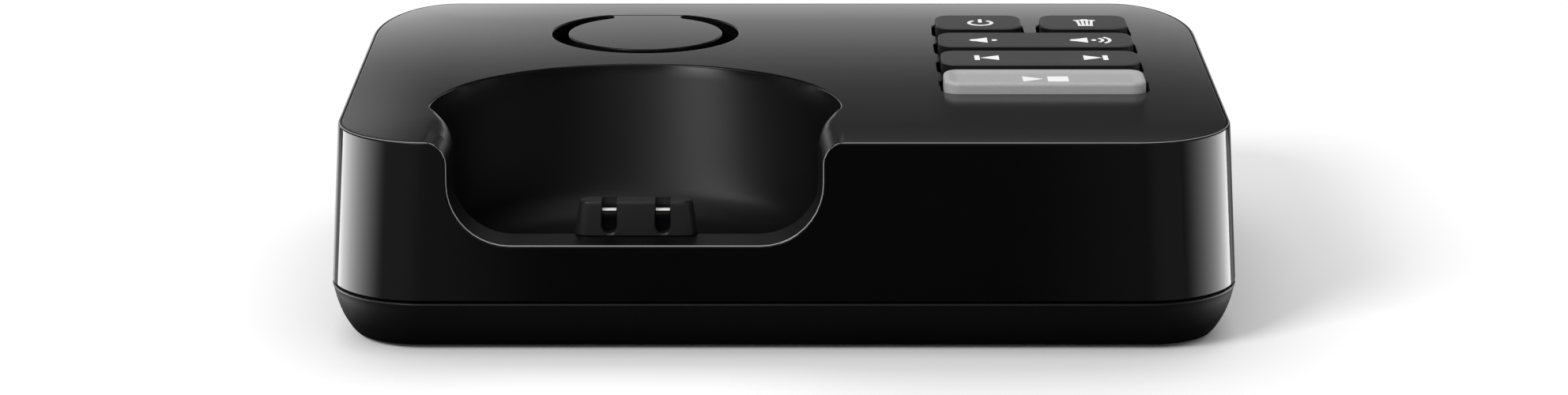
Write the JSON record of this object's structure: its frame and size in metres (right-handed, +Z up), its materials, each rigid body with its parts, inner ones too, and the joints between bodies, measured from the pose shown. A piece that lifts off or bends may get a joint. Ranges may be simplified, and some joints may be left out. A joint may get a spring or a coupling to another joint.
{
  "type": "cordless phone base station",
  "caption": "Low charging base for a cordless phone: cradle bowl with sprung contacts, paging disc, answering-machine keys, gloss band, tapered tray.",
  "frame": {"origin": "middle of the footprint, on the surface that the feet stand on", "axes": "+X to the right when facing the front, +Y from front to back, +Z up"},
  "size_m": [0.1438, 0.107, 0.0363],
  "materials": {
    "deck_satin": "satin, fine texture",
    "band_gloss": "high gloss",
    "tray_matte": "matte, fine texture",
    "key_grey": "matte, soft edges",
    "key_silver": "silver lacquer, satin",
    "contact_metal": "bright plated",
    "foot_rubber": "matte",
    "board_green": "solder mask, satin",
    "steel": "plain",
    "chip_black": "matte",
    "capacitor_sleeve": "shrink sleeve",
    "magnet_steel": "zinc plated",
    "cone_paper": "pressed paper pulp",
    "foam": "open foam",
    "silicone": "silicone",
    "ribbon_film": "amber film"
  },
  "bodies": {
    "housing": {"top_cover": "deck_satin", "gloss_band": "band_gloss", "bottom_tray": "tray_matte", "contact_block": "tray_matte", "paging_switch": "chip_black", "foot_front_left": "foot_rubber", "foot_front_right": "foot_rubber", "foot_rear_left": "foot_rubber", "foot_rear_right": "foot_rubber", "case_screw_front_left": "steel", "case_screw_front_right": "steel", "case_screw_rear_left": "steel", "case_screw_rear_right": "steel", "key_screw_front_left": "steel", "key_screw_front_right": "steel", "key_screw_rear_left": "steel", "key_screw_rear_right": "steel", "main_board": "board_green", "key_board": "board_green", "key_mat": "silicone", "key_ribbon": "ribbon_film", "speaker_gasket": "foam", "speaker_frame": "steel", "speaker_cone": "cone_paper", "speaker_magnet": "magnet_steel", "line_jack": "chip_black", "power_jack": "chip_black", "radio_shield": "steel", "processor_chip": "chip_black", "memory_chip": "chip_black", "crystal": "steel", "capacitor_left": "capacitor_sleeve", "capacitor_right": "capacitor_sleeve", "antenna_left": "steel", "antenna_right": "steel"},
    "power_key": {"power_key": "key_grey"},
    "delete_key": {"delete_key": "key_grey"},
    "play_key": {"play_key": "key_silver"},
    "volume_key": {"volume_key": "key_grey"},
    "skip_key": {"skip_key": "key_grey"},
    "paging_key": {"paging_key": "deck_satin"},
    "contact_left": {"contact_left": "contact_metal"},
    "contact_right": {"contact_right": "contact_metal"}
  },
  "joints": [
    {"name": "power_press", "type": "slide", "parent": "housing", "child": "power_key", "axis": [0, 0, -1], "range_m": [0, 0.00095], "stiffness_N_per_m": 600},
    {"name": "delete_press", "type": "slide", "parent": "housing", "child": "delete_key", "axis": [0, 0, -1], "range_m": [0, 0.00095], "stiffness_N_per_m": 600},
    {"name": "play_press", "type": "slide", "parent": "housing", "child": "play_key", "axis": [0, 0, -1], "range_m": [0, 0.00095], "stiffness_N_per_m": 800},
    {"name": "volume_rock", "type": "hinge", "parent": "housing", "child": "volume_key", "pos_m": [0.04245, 0.01395, 0.03185], "axis": [0, 1, 0], "range_deg": [-2.2, 2.2], "stiffness_Nm_per_rad": 0.5},
    {"name": "skip_rock", "type": "hinge", "parent": "housing", "child": "skip_key", "pos_m": [0.04245, 0, 0.03185], "axis": [0, 1, 0], "range_deg": [-2.2, 2.2], "stiffness_Nm_per_rad": 0.5},
    {"name": "paging_press", "type": "hinge", "parent": "housing", "child": "paging_key", "pos_m": [-0.0238, 0.0414, 0.0337], "axis": [1, 0, 0], "range_deg": [0, 2.5], "stiffness_Nm_per_rad": 0.5},
    {"name": "contact_left_press", "type": "slide", "parent": "housing", "child": "contact_left", "axis": [0, 0, -1], "range_m": [0, 0.0008], "stiffness_N_per_m": 750},
    {"name": "contact_right_press", "type": "slide", "parent": "housing", "child": "contact_right", "axis": [0, 0, -1], "range_m": [0, 0.0008], "stiffness_N_per_m": 750}
  ]
}
